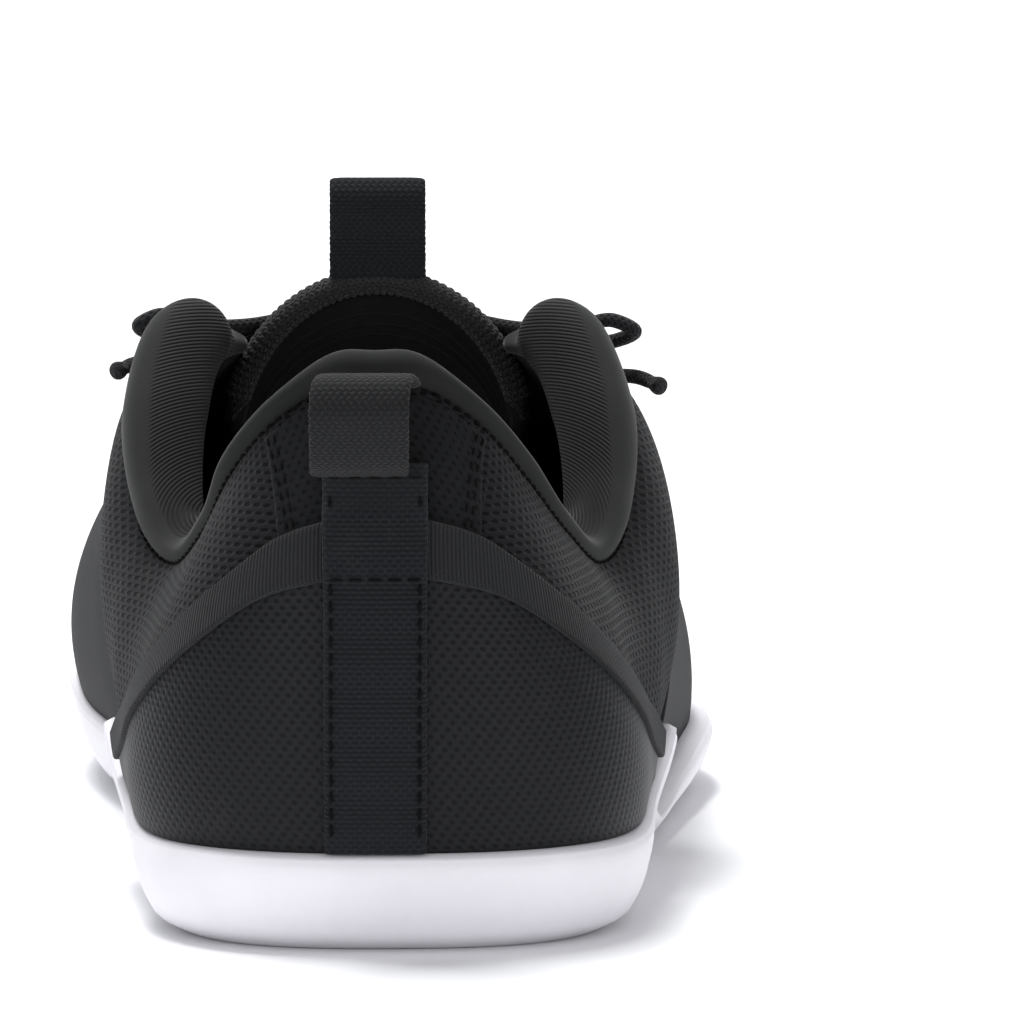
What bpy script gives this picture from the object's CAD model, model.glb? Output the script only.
"""Visual model of a barefoot training shoe for the right foot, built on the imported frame.

The frame's +Y runs from heel to toe, +X to the outer side of the foot and +Z up, in metres.
Places around the shoe are ring numbers: 0 is the middle of the heel, 1 the tip of the toe,
positive numbers run along the outer side and negative numbers along the inner side.
"""

import math

import bmesh
import bpy
import numpy as np
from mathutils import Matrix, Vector


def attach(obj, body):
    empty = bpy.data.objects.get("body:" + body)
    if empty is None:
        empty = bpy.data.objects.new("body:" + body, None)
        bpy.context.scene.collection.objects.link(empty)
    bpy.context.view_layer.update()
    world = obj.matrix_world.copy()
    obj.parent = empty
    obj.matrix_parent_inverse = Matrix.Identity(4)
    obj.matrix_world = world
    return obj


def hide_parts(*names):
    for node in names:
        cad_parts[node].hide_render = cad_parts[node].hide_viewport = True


bl_info = {
    "name": "Barefoot shoe",
    "version": (1, 0, 0),
    "blender": (4, 5, 0),
    "location": "View3D > Sidebar > Shoe",
    "description": "Builds the visual model of a barefoot training shoe",
    "category": "Object",
}

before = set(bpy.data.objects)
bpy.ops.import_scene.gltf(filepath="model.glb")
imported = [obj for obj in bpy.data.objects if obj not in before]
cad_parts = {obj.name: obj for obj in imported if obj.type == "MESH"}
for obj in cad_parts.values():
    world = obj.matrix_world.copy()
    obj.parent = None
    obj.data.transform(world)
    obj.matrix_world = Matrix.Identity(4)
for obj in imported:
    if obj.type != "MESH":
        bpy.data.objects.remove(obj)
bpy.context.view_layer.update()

# Main sizes in metres, those of the frame's own solids
LENGTH = 0.282
BALL_WIDTH = 0.111
COLLAR_HEIGHT = 0.082
TOE_SPRING = 0.005

# Sole
SOLE_FLOOR = 0.005
SOLE_RIM = 0.0024
TREAD_DEPTH = 0.0014
TREAD_WIDTH = 0.0030
TREAD_BEND = 0.006

# Upper and the pieces laid on it
WALL = 0.0022
FEATHER_INSET = 0.0065
OVERLAY = 0.0008
WEBBING = 0.0012
STRIP_WIDTH = 0.014
EYESTAY_WIDTH = 0.013
TONGUE = 0.0032
INSOLE = 0.0032
LOOP_WIDTH = 0.0136
TONGUE_LOOP_WIDTH = 0.0151
LOOP_FABRIC = 0.0013
HEEL_LOOP_HEIGHT = 0.0130
TONGUE_LOOP_HEIGHT = 0.0137
TONGUE_ROUND = 1.02
LACE = 0.0023
STRIP_TOP = 0.812
TAPE = 0.0008
TAPE_WIDTH = 0.0042
TAPE_RADIUS = 0.0019
TAPE_SPAN = 0.0052
KNOT_WIDTH = 0.0085
KNOT_DEPTH = 0.0066
KNOT_HEIGHT = 0.0060
HEEL_LOOP_SHIFT = -0.0022
TAPE_INSET = 0.0012
INSOLE_EDGE = 0.0006

# Clearances
GAP = 0.0003
RIM_GAP = 0.0005
PAD_GAP = 0.0006
LAY_GAP = 0.0007
SEAM_GAP = 0.0008
RIM_BLEND = 0.0006

# Share of the length that each rounded end takes, and how square the ends are
HEEL_ROUND = 0.131
TOE_ROUND = 0.200
TOE_POWER = 2.3
HEEL_POWER = 2.5
SPRING_START = 0.727

# Outline of the sole: share of length; shares of ball width for the middle line and the half widths
OUTLINE_COLUMNS = ("along", "centre", "inner", "outer")
OUTLINE = (
    (0.000, 0.018, 0.336, 0.342),
    (0.131, 0.018, 0.336, 0.345),
    (0.230, 0.014, 0.324, 0.360),
    (0.337, 0.009, 0.315, 0.392),
    (0.443, 0.009, 0.351, 0.437),
    (0.550, 0.005, 0.419, 0.491),
    (0.638, 0.000, 0.459, 0.526),
    (0.727, -0.014, 0.464, 0.518),
    (0.816, -0.036, 0.446, 0.468),
    (0.887, -0.060, 0.432, 0.440),
    (0.957, -0.078, 0.414, 0.404),
    (1.000, -0.086, 0.400, 0.380),
)

# Top edge of the sole and inset of its tread: share of length; shares of collar height and of ball width
RIM_COLUMNS = ("along", "inner_top", "outer_top", "inner_tread", "outer_tread")
RIM = (
    (0.000, 0.171, 0.171, 0.062, 0.062),
    (0.106, 0.179, 0.179, 0.064, 0.064),
    (0.167, 0.208, 0.205, 0.076, 0.072),
    (0.220, 0.262, 0.252, 0.085, 0.072),
    (0.255, 0.304, 0.288, 0.095, 0.074),
    (0.280, 0.290, 0.274, 0.104, 0.076),
    (0.312, 0.177, 0.140, 0.114, 0.078),
    (0.344, 0.134, 0.088, 0.124, 0.080),
    (0.390, 0.140, 0.078, 0.130, 0.080),
    (0.461, 0.152, 0.098, 0.126, 0.078),
    (0.532, 0.165, 0.122, 0.108, 0.076),
    (0.638, 0.183, 0.152, 0.088, 0.076),
    (0.745, 0.226, 0.171, 0.084, 0.078),
    (0.851, 0.220, 0.183, 0.082, 0.080),
    (0.940, 0.207, 0.195, 0.080, 0.080),
    (1.000, 0.213, 0.213, 0.080, 0.080),
)

# Side of the sole from tread to top edge: share of the top edge's height, share of the tread's inset
SOLE_SIDE = ((0.00, 1.00), (0.10, 0.58), (0.30, 0.28), (0.60, 0.08), (0.88, 0.02), (1.00, 0.10))

# Opening of the upper, collar and throat: ring number; shares of length, ball width and collar height
OPENING_COLUMNS = ("at", "along", "inner", "outer", "height")
OPENING = (
    (0.000, 0.025, 0.000, 0.000, 0.990),
    (0.100, 0.030, 0.076, 0.076, 0.972),
    (0.160, 0.046, 0.137, 0.137, 0.900),
    (0.210, 0.074, 0.180, 0.185, 0.812),
    (0.260, 0.117, 0.212, 0.236, 0.708),
    (0.300, 0.167, 0.250, 0.280, 0.640),
    (0.345, 0.220, 0.284, 0.305, 0.712),
    (0.385, 0.270, 0.292, 0.303, 0.872),
    (0.420, 0.316, 0.268, 0.268, 0.998),
    (0.455, 0.358, 0.228, 0.230, 0.994),
    (0.490, 0.397, 0.180, 0.180, 0.978),
    (0.530, 0.447, 0.153, 0.149, 0.939),
    (0.600, 0.525, 0.135, 0.126, 0.848),
    (0.670, 0.596, 0.122, 0.113, 0.756),
    (0.750, 0.660, 0.108, 0.090, 0.683),
    (0.860, 0.699, 0.072, 0.045, 0.646),
    (1.000, 0.713, 0.018, -0.018, 0.634),
)

# Bulge of the upper's side, low and high: shares of ball width outward, of collar height up or down
BULGE_COLUMNS = ("at", "low_inner", "low_outer", "low_rise", "high_inner", "high_outer", "high_drop")
BULGE = (
    (0.000, 0.099, 0.099, 0.341, 0.027, 0.027, 0.268),
    (0.150, 0.108, 0.108, 0.317, 0.045, 0.045, 0.244),
    (0.220, 0.117, 0.108, 0.244, 0.072, 0.072, 0.207),
    (0.280, 0.117, 0.090, 0.171, 0.108, 0.108, 0.190),
    (0.345, 0.122, 0.088, 0.220, 0.138, 0.146, 0.195),
    (0.420, 0.100, 0.075, 0.341, 0.184, 0.206, 0.150),
    (0.530, 0.144, 0.076, 0.400, 0.216, 0.170, 0.060),
    (0.670, 0.148, 0.074, 0.350, 0.232, 0.180, 0.030),
    (0.800, 0.072, 0.072, 0.305, 0.270, 0.262, 0.000),
    (1.000, 0.045, 0.045, 0.317, 0.360, 0.360, 0.024),
)

# Padded roll on the collar: ring number; half height and half thickness as shares of collar height
PAD_COLUMNS = ("at", "half_height", "half_thickness")
PAD = (
    (0.000, 0.031, 0.036),
    (0.100, 0.030, 0.036),
    (0.160, 0.026, 0.037),
    (0.210, 0.024, 0.040),
    (0.260, 0.023, 0.036),
    (0.300, 0.030, 0.038),
    (0.345, 0.062, 0.068),
    (0.385, 0.086, 0.083),
    (0.420, 0.082, 0.079),
    (0.455, 0.036, 0.038),
    (0.475, 0.019, 0.021),
    (0.500, 0.006, 0.010),
    (0.520, 0.000, 0.000),
    (1.000, 0.000, 0.000),
)
PAD_END = 0.475
PAD_REACH = 1.12

# Heel strap: ring number; top and bottom edge as shares of collar height
STRAP_COLUMNS = ("at", "top", "bottom")
STRAP = (
    (0.000, 0.748, 0.638),
    (0.050, 0.733, 0.626),
    (0.093, 0.701, 0.596),
    (0.148, 0.594, 0.498),
    (0.200, 0.474, 0.389),
    (0.246, 0.384, 0.304),
    (0.275, 0.362, 0.292),
    (0.305, 0.356, 0.312),
    (0.340, 0.370, 0.342),
)
STRAP_STEP = 0.0237

# Smooth panels on the sides of the forefoot: name; ring numbers of the start and end of the panel's foot,
# then of the start and end of its top
PANELS = (
    ("side_panel_outer", 0.446, 0.640, 0.535, 0.640),
    ("side_panel_inner", -0.466, -0.650, -0.535, -0.650),
)
TOE_CAP_START = 0.800
TOE_CAP_HEIGHT = 0.0105
EYESTAY_START = 0.512

# Path of the heel pull loop, behind the heel: shares of its height backward and upward, share of its shift
HEEL_LOOP = (
    (0.10, 0.02, 1.0), (0.36, 0.14, 1.0), (0.62, 0.42, 1.0), (0.74, 0.72, 1.0),
    (0.66, 0.95, 0.9), (0.42, 1.04, 0.6), (0.12, 0.96, 0.2),
)

# Path of the tongue pull loop over the tongue's free edge: shares of its height forward and upward
TONGUE_LOOP = (
    (-0.07, -0.10), (-0.06, 0.25), (-0.03, 0.62), (0.02, 0.93),
    (0.08, 1.00), (0.14, 0.93), (0.19, 0.62), (0.28, 0.25), (0.42, -0.08),
)

# Lace: ring numbers of the tape loops; then the middle of the knot and the routes of the free cords as
# shares of ball width outward, of length along and of collar height up
TAPE_LOOPS = (0.545, 0.592, 0.638, 0.684, 0.732)
KNOT = (0.000, 0.429, 1.026)
BOW_ROUTE = (
    (0.044, 0.421, 1.042), (0.110, 0.404, 1.026), (0.190, 0.392, 1.008), (0.262, 0.384, 1.010),
    (0.318, 0.375, 1.030), (0.345, 0.376, 1.012), (0.322, 0.388, 0.990), (0.262, 0.402, 0.984),
    (0.190, 0.413, 0.998), (0.110, 0.423, 1.014), (0.045, 0.431, 1.018),
)
END_ROUTE = (
    (0.030, 0.439, 1.070), (0.110, 0.444, 1.030), (0.200, 0.437, 0.980), (0.270, 0.419, 0.944),
    (0.325, 0.394, 0.936), (0.365, 0.374, 0.938), (0.392, 0.358, 0.926),
)
END_REACH = {"inner": 0.93, "outer": 1.03}
BOW_REACH = {"inner": 0.97, "outer": 1.07}
BOW_DROP = {"inner": 0.0, "outer": 0.040}
END_DROP = {"inner": 0.0, "outer": 0.090}

# Tongue: share of length; shares of ball width for the middle and half width, of collar height for the
# middle and the sides
TONGUE_COLUMNS = ("along", "centre", "half_width", "top", "side")
TONGUE_FORM = (
    (0.372, 0.004, 0.226, 1.120, 0.768),
    (0.410, 0.003, 0.222, 1.000, 0.690),
    (0.460, 0.004, 0.240, 0.915, 0.625),
    (0.530, 0.000, 0.270, 0.838, 0.560),
    (0.600, -0.004, 0.280, 0.734, 0.480),
    (0.660, -0.010, 0.280, 0.656, 0.430),
    (0.715, -0.018, 0.270, 0.586, 0.400),
)

# From here on the sizes are those of the visual model alone. Sole: places of the tread's grooves as shares
# of length; levels of the rings on the outer side as shares of the edge's height; rings over the edge and
# down its inner side, as shares of height and of the rim's width; rounding of the top edge
TREAD_BARS = (0.10, 0.155, 0.21, 0.575, 0.635, 0.695, 0.755, 0.815)
SOLE_LEVELS = (0.0, 0.02, 0.05, 0.10, 0.16, 0.23, 0.30, 0.40, 0.50, 0.60, 0.70, 0.80, 0.88, 0.94, 0.98, 1.0)
SOLE_LIP = ((1.0, 0.45), (1.0, 0.2), (1.0, 0.0), (0.62, 0.0), (0.28, 0.0), (0.0, 0.0))
EDGE_START = 0.95
EDGE_NARROW = 0.8
EDGE_SINK = 0.0006
EDGE_DROP = 0.0008

# Upper: how far its wall runs up into the roll; ring numbers of the quarters' forward seam at its foot and
# top; its two grooves; the tape over it
WALL_TUCK = 0.55
SEAM_LOW = 0.400
SEAM_HIGH = 0.470
SEAM_GROOVES = (-0.004, 0.020)
SEAM_GIRTH = 0.30
SEAM_WIDTH = 0.0009
SEAM_DEPTH = 0.0005
SEAM_TAPE = 0.0045
HOLE_DEPTH = 0.00022

# Collar roll: the place that its ribs fan out from, as shares of ball width, length and collar height, and
# the weight of its distance along; how square the section is; the dent below its outer face; the ring
# numbers and the angle that the ribs keep to
NOTCH = (0.235, 0.234, 0.682)
NOTCH_DEPTH = 0.25
ROLL_POWER = 0.94
DENT_ANGLE = math.radians(-35)
DENT_WIDTH = 0.30
DENT_DEPTH = 0.0007
ANKLE_START = 0.17
ANKLE_FADE = 0.08
RIBS_START = 0.285
RIBS_END = 0.455
RIBS_ANGLE = math.radians(150)
RIBS_MARGIN = 0.74

# Tongue: shares of length of its free edge and of the knit roll; the roll; rows of piping below the edge
TONGUE_EDGE = 0.3722
TONGUE_END = 0.715
KNIT_LINE = 0.3735
KNIT_PITCH = 0.00128
KNIT_ROLL = 0.0019
KNIT_BEAT = 0.00028
PIPING = (0.0034, 0.0052, 0.0070)
PIPING_WIDTH = 0.0005
PIPING_DEPTH = 0.00045

# Heel: ring numbers of the tab's lower and upper corners and of the strap's ends; half the girth; dip of
# the strap's ends; how much the pull loop has settled
TAB_FOOT = 0.092
TAB_REACH = 0.150
STRAP_END = 0.292
STRAP_FADE = 0.03
STRAP_DIP = 0.0035
HALF_GIRTH = 0.27
LOOP_SETTLE = 0.0008

# Section of a tape loop, as shares of half its width and of half its thickness
TAPE_SECTION = (
    (1.0, 0.5), (0.9, 1.0), (0.0, 1.0), (-0.9, 1.0), (-1.0, 0.5),
    (-1.0, -0.5), (-0.9, -1.0), (0.0, -1.0), (0.9, -1.0), (1.0, -0.5),
)

# Lace: turns of the knot as shift, lean and size; thickness of a cut end toward its tip
KNOT_TURNS = ((0.0, 0.0, 1.0), (-0.0024, 0.35, 0.88), (0.0024, -0.35, 0.88))
CUT_END = (1.0, 1.0, 0.97, 0.93, 0.92, 1.0, 1.12, 1.22, 1.28, 1.22)

# Edge of a laid piece: how far it goes into the wall below it
EDGE_TUCK = 0.00012

# Soft folds: ring number, place on the wall, half width round the shoe, half height, slant, outward depth
CREASES = (
    (0.235, 0.55, 0.020, 0.25, 0.10, 0.0007),
    (-0.235, 0.52, 0.022, 0.25, -0.10, 0.0007),
    (0.335, 0.45, 0.018, 0.30, 0.05, -0.0006),
    (-0.335, 0.48, 0.018, 0.30, -0.05, -0.0006),
    (0.390, 0.35, 0.022, 0.22, -0.06, 0.0006),
    (-0.395, 0.38, 0.022, 0.22, 0.06, 0.0005),
    (0.660, 0.55, 0.010, 0.26, 0.05, -0.0009),
    (-0.660, 0.55, 0.010, 0.26, -0.05, -0.0009),
    (0.700, 0.60, 0.011, 0.24, 0.06, 0.0006),
    (-0.705, 0.58, 0.011, 0.24, -0.06, 0.0006),
    (0.735, 0.62, 0.010, 0.24, 0.06, -0.0007),
    (-0.740, 0.60, 0.010, 0.24, -0.06, -0.0007),
)

# Colours, as linear shares of light
WHITE = (0.800, 0.785, 0.830)
DUST = (0.090, 0.088, 0.084)
YARN = (0.0125, 0.0130, 0.0142)
KNIT = (0.0280, 0.0285, 0.0300)
DARK_YARN = (0.0040, 0.0040, 0.0048)
HOLE = (0.0010, 0.0010, 0.0016)
BINDING = (0.0070, 0.0073, 0.0070)
COUNTER = (0.0105, 0.0110, 0.0128)
TAB = (0.0088, 0.0092, 0.0102)
DOT = (0.0016, 0.0017, 0.0021)
STRAP_COLOUR = (0.0180, 0.0186, 0.0200)
STRIP = (0.0095, 0.0112, 0.0138)
LOOP_COLOUR = (0.0150, 0.0155, 0.0165)
SCUFF = (0.42, 0.40, 0.38)
FLOOR_DIRT = (0.50, 0.48, 0.46)
INSOLE_CLOTH = (0.012, 0.0125, 0.0135)
LINING = (0.008, 0.008, 0.0085)
TONGUE_LINING = (0.0100, 0.0102, 0.0105)
COATED = (0.0100, 0.0104, 0.0112)
SEAM_CLOTH = (0.009, 0.0095, 0.010)
THREAD = (0.0070, 0.0070, 0.0075)
BRAID = (0.0125, 0.013, 0.0145)

# Stage: the floor's line backward and upward and its points across; area lights with their place, aim,
# size, power and colour; sky; camera
BACKDROP = ((-3.0, 0.0), (5.6, 0.0), (6.2, 0.03), (6.8, 0.16), (7.2, 0.4), (7.4, 0.8), (7.5, 4.0))
BACKDROP_SIDES = (-5.0, -1.7, 1.7, 5.0)
LIGHTS = (
    ("top_softbox", (-0.55, 0.55, 3.70), (0.0, 0.0, 0.0), (1.3, 1.3), 160.0, (1.0, 1.0, 1.0)),
    ("backdrop_softbox", (0.0, 4.2, 3.2), (0.0, 7.4, 0.7), (3.0, 1.5), 260.0, (1.0, 1.0, 1.0)),
    ("left_softbox", (-1.1, -1.8, 0.36), (0.0, -0.05, 0.04), (1.2, 0.8), 8.0, (0.98, 0.98, 1.0)),
    ("right_softbox", (1.2, -1.6, 0.36), (0.0, -0.05, 0.04), (1.2, 0.8), 7.0, (1.0, 0.98, 0.98)),
)
FLOOR_COLOUR = (0.93, 0.935, 0.95)
SKY_COLOUR = (0.97, 0.98, 1.0)
SKY_POWER = 0.42
CAMERA_LENS = 179.65
CAMERA_SENSOR = 36.0
CAMERA_CLIP = (0.05, 20.0)
CAMERA_PLACE = (0.0, -0.841, 0.117)
CAMERA_TURN = (85.482, 0.0, -1.536)


def smooth(stations, values, where):
    """Read a smooth curve through hand-chosen stations."""
    x = np.asarray(stations, float)
    y = np.asarray(values, float)
    step = np.diff(x)
    rise = np.diff(y) / step
    slope = np.empty_like(y)
    slope[0] = rise[0]
    slope[-1] = rise[-1]
    slope[1:-1] = (step[1:] * rise[:-1] + step[:-1] * rise[1:]) / (step[1:] + step[:-1])
    w = np.clip(np.asarray(where, float), x[0], x[-1])
    i = np.clip(np.searchsorted(x, w, side="right") - 1, 0, len(step) - 1)
    h = step[i]
    f = (w - x[i]) / h
    return (
        (2 * f**3 - 3 * f**2 + 1) * y[i]
        + (f**3 - 2 * f**2 + f) * h * slope[i]
        + (3 * f**2 - 2 * f**3) * y[i + 1]
        + (f**3 - f**2) * h * slope[i + 1]
    )


def column(table, names, name):
    """One named column of a table."""
    k = names.index(name)
    return np.array([row[k] for row in table])


def wrap(at):
    """Bring a ring number into -1..1."""
    return (np.asarray(at, float) + 1.0) % 2.0 - 1.0


def ring_value(table, names, inner, outer, at, flip=False):
    """Smooth value around the whole ring from the inner and outer columns of a table."""
    where = column(table, names, "at")
    low = column(table, names, inner)
    high = column(table, names, outer)
    if flip:
        low = -low
    x = np.concatenate([-where[-2:0:-1], where])
    y = np.concatenate([low[-2:0:-1], high])
    x3 = np.concatenate([x - 2.0, x, x + 2.0])
    y3 = np.concatenate([y, y, y])
    return smooth(x3, y3, wrap(at))


def along_share(at):
    """Share of the length at a ring number of the outline."""
    return (1.0 - np.cos(math.pi * np.abs(wrap(at)))) / 2.0


def side_value(table, names, inner, outer, at):
    """Value of a table by length, read on the side that the ring number is on."""
    where = column(table, names, "along")
    share = along_share(at)
    low = smooth(where, column(table, names, inner), share)
    high = smooth(where, column(table, names, outer), share)
    return np.where(wrap(at) < 0, low, high)


def outline(at):
    """Plan position of the sole's outline."""
    share = along_share(at)
    heel = np.clip(1.0 - share / HEEL_ROUND, 0.0, 1.0)
    toe = np.clip(1.0 - (1.0 - share) / TOE_ROUND, 0.0, 1.0)
    ends = (1.0 - heel**HEEL_POWER) ** (1.0 / HEEL_POWER) * (1.0 - toe**TOE_POWER) ** (1.0 / TOE_POWER)
    along = column(OUTLINE, OUTLINE_COLUMNS, "along")
    centre = smooth(along, column(OUTLINE, OUTLINE_COLUMNS, "centre"), share)
    half = side_value(OUTLINE, OUTLINE_COLUMNS, "inner", "outer", at)
    sign = np.where(wrap(at) < 0, -1.0, 1.0)
    x = (centre + sign * half * ends) * BALL_WIDTH
    y = (share - 0.5) * LENGTH
    return np.stack([x, y], axis=-1)


def plan_normal(at):
    """Level outward direction of the outline."""
    step = 0.004
    run = outline(np.asarray(at) + step) - outline(np.asarray(at) - step)
    normal = np.stack([run[..., 1], -run[..., 0]], axis=-1)
    return normal / np.linalg.norm(normal, axis=-1, keepdims=True)


def spring(y):
    """Lift of the sole toward the toe."""
    start = (SPRING_START - 0.5) * LENGTH
    share = np.clip((y - start) / (0.5 * LENGTH - start), 0.0, 1.0)
    return TOE_SPRING * share**2


def rim_height(at):
    """Height of the sole's top edge."""
    return side_value(RIM, RIM_COLUMNS, "inner_top", "outer_top", at) * COLLAR_HEIGHT


def opening(at):
    """Line of the collar and throat."""
    x = ring_value(OPENING, OPENING_COLUMNS, "inner", "outer", at, flip=True) * BALL_WIDTH
    y = (ring_value(OPENING, OPENING_COLUMNS, "along", "along", at) - 0.5) * LENGTH
    z = ring_value(OPENING, OPENING_COLUMNS, "height", "height", at) * COLLAR_HEIGHT
    return np.stack([x, y, z], axis=-1)


def wall_surface(at, t):
    """Outer face of the upper: t is 0 at the feather edge and 1 at the opening."""
    at, t = np.broadcast_arrays(np.asarray(at, float), np.asarray(t, float))
    out = plan_normal(at)
    level = np.concatenate([out, np.zeros_like(out[..., :1])], axis=-1)
    up = np.array([0.0, 0.0, 1.0])
    foot_plan = outline(at) - out * FEATHER_INSET
    foot_height = SOLE_FLOOR + GAP + spring(foot_plan[..., 1])
    foot = np.concatenate([foot_plan, foot_height[..., None]], axis=-1)
    edge = opening(at)
    low_out = ring_value(BULGE, BULGE_COLUMNS, "low_inner", "low_outer", at)[..., None] * BALL_WIDTH
    low_rise = ring_value(BULGE, BULGE_COLUMNS, "low_rise", "low_rise", at)[..., None] * COLLAR_HEIGHT
    high_out = ring_value(BULGE, BULGE_COLUMNS, "high_inner", "high_outer", at)[..., None] * BALL_WIDTH
    high_drop = ring_value(BULGE, BULGE_COLUMNS, "high_drop", "high_drop", at)[..., None] * COLLAR_HEIGHT
    low = foot + level * low_out + up * low_rise
    high = edge + level * high_out - up * high_drop
    s = t[..., None]
    return (1 - s) ** 3 * foot + 3 * (1 - s) ** 2 * s * low + 3 * (1 - s) * s**2 * high + s**3 * edge


def wall_normal(at, t):
    """Outward normal of the upper's outer face."""
    at, t = np.broadcast_arrays(np.asarray(at, float), np.asarray(t, float))
    step = 0.004
    low = np.clip(t - step, 0.0, 1.0)
    high = np.clip(t + step, 0.0, 1.0)
    round_run = wall_surface(at + step, t) - wall_surface(at - step, t)
    rise = wall_surface(at, high) - wall_surface(at, low)
    normal = np.cross(round_run, rise)
    return normal / np.linalg.norm(normal, axis=-1, keepdims=True)


def on_wall(at, t, offset=0.0):
    """Point of the upper, moved outward by an offset."""
    return wall_surface(at, t) + wall_normal(at, t) * offset


SAMPLES = np.linspace(0.0, 1.0, 81)


def t_at_height(at, height):
    """Where the outer face reaches a height."""
    at, height = np.broadcast_arrays(np.atleast_1d(at), np.atleast_1d(height))
    z = np.maximum.accumulate(wall_surface(at.ravel()[:, None], SAMPLES)[..., 2], axis=1)
    found = [np.interp(h, row, SAMPLES) for h, row in zip(height.ravel(), z)]
    return np.array(found).reshape(at.shape)


def t_from_edge(at, distance):
    """Where the outer face is a distance away from the line of the opening."""
    at, distance = np.broadcast_arrays(np.atleast_1d(at), np.atleast_1d(distance))
    points = wall_surface(at.ravel()[:, None], SAMPLES)
    away = np.linalg.norm(points - points[:, -1:], axis=2)
    back = np.maximum.accumulate(away[:, ::-1], axis=1)
    found = [np.interp(d, row, SAMPLES[::-1]) for d, row in zip(distance.ravel(), back)]
    return np.array(found).reshape(at.shape)


def pad_size(at, name):
    """Half height or half thickness of the padded roll, none past its ends."""
    return np.maximum(ring_value(PAD, PAD_COLUMNS, name, name, at), 0.0) * COLLAR_HEIGHT


def wall_end(at):
    """Where the upper's wall stops under the padded roll."""
    reach = np.maximum(pad_size(at, "half_height"), pad_size(at, "half_thickness"))
    return t_from_edge(at, np.where(reach > GAP * 0.7, reach * PAD_REACH + PAD_GAP, 0.0))


def plan_at_height(at, height, offset):
    """Level position of the wall at a height, with the wall moved outward by an offset."""
    points = on_wall(np.asarray(at)[:, None], SAMPLES, offset)
    z = np.maximum.accumulate(points[..., 2], axis=1)
    found = []
    for h, levels, row in zip(np.broadcast_to(height, np.shape(at)), z, points):
        found.append([np.interp(h, levels, row[:, 0]), np.interp(h, levels, row[:, 1])])
    return np.array(found)


def ring_stations(count):
    """Ring numbers of one side, evenly spaced along the outline and closer at the sole's side wings."""
    fine = np.linspace(0.0, 1.0, 2001)
    points = outline(fine)
    share = along_share(fine)
    weight = 1.0 + 1.3 * np.exp(-(((share - 0.29) / 0.05) ** 2))
    steps = np.linalg.norm(np.diff(points, axis=0), axis=1) * 0.5 * (weight[1:] + weight[:-1])
    total = np.concatenate([[0.0], np.cumsum(steps)])
    return np.interp(np.linspace(0.0, total[-1], count + 1), total, fine)


def full_ring(count):
    """Ring numbers around the whole shoe, starting at the heel and running along the outer side."""
    side = ring_stations(count)
    return np.concatenate([side, -side[-2:0:-1]])


def tongue_arch(share):
    """Middle, half width, top and side height of the tongue at a share of the length."""
    where = column(TONGUE_FORM, TONGUE_COLUMNS, "along")
    sizes = {"centre": BALL_WIDTH, "half_width": BALL_WIDTH, "top": COLLAR_HEIGHT, "side": COLLAR_HEIGHT}
    found = []
    for name, size in sizes.items():
        found.append(smooth(where, column(TONGUE_FORM, TONGUE_COLUMNS, name), share) * size)
    return found


def tongue_point(share, angle, depth=0.0):
    """Point of the tongue's outer face, moved inward by a depth."""
    centre, half, top, side = tongue_arch(share)
    x = centre + (half - depth) * np.sin(angle)
    z = side + (top - side - depth) * np.cos(angle) ** TONGUE_ROUND
    y = (share - 0.5) * LENGTH + 0.03 * LENGTH * (1.0 - np.cos(angle))
    return np.stack([x, np.broadcast_to(y, np.shape(x)), z], axis=-1)


def above_rim(at):
    """Where the upper's face comes out above the sole's top edge."""
    foot = outline(at) - plan_normal(at) * FEATHER_INSET
    return t_at_height(at, rim_height(at) + spring(foot[..., 1]) + SEAM_GAP)


def heel_point(x, height, offset):
    """Points of the upper's heel at distances from its middle line and at heights."""
    x, height = np.broadcast_arrays(np.asarray(x, float), np.asarray(height, float))
    places = np.linspace(-0.14, 0.14, 141)
    at = np.empty(x.shape)
    for level in np.unique(height):
        across = wall_surface(places, t_at_height(places, level))[:, 0]
        same = height == level
        at[same] = np.interp(x[same], across, places)
    t = t_at_height(at, height).reshape(x.shape)
    return wall_surface(at, t) + wall_normal(at, t) * np.asarray(offset, float)[..., None]


def placed(out, along, up):
    """Point from shares of ball width outward, of length along and of collar height up."""
    return np.array([out * BALL_WIDTH, (along - 0.5) * LENGTH, up * COLLAR_HEIGHT])


def smooth_path(points, count):
    """Even points on a smooth curve through a route's own points."""
    points = np.asarray(points, float)
    length = cumulative(points, 0)
    where = np.linspace(0.0, length[-1], count)
    return np.stack([smooth(length, points[:, k], where) for k in range(3)], axis=1)


def edge_frame(at):
    """Place on the throat's edge with the ways along the edge, across it and out of the upper."""
    place = wall_surface(at, 1.0)
    out = wall_normal(at, 1.0)
    across = wall_surface(at, 1.0) - wall_surface(at, 0.98)
    across /= np.linalg.norm(across)
    forward = np.cross(out, across)
    forward /= np.linalg.norm(forward)
    if forward[1] < 0:
        forward = -forward
    return place, forward, across, out


def tape_middle(at):
    """Middle of a tape loop's hole and its directions."""
    place, forward, across, out = edge_frame(at)
    lift = LAY_GAP + OVERLAY + GAP + TAPE_RADIUS + TAPE / 2
    return place - across * TAPE_INSET + out * lift, forward, across, out


def lace_run(first_side, to_knot):
    """Route of one half of the lace, from the lowest tape loop to the knot."""
    points = []
    side = first_side
    for at in TAPE_LOOPS[::-1]:
        middle, forward = tape_middle(side * at)[:2]
        points.append(middle + forward * (TAPE_WIDTH * 0.62))
        points.append(middle)
        points.append(middle - forward * (TAPE_WIDTH * 0.62))
        side = -side
    side = -side
    points.append(placed(*KNOT) + np.array([side * to_knot, LACE * 1.5, -LACE * 0.35]))
    return points


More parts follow.
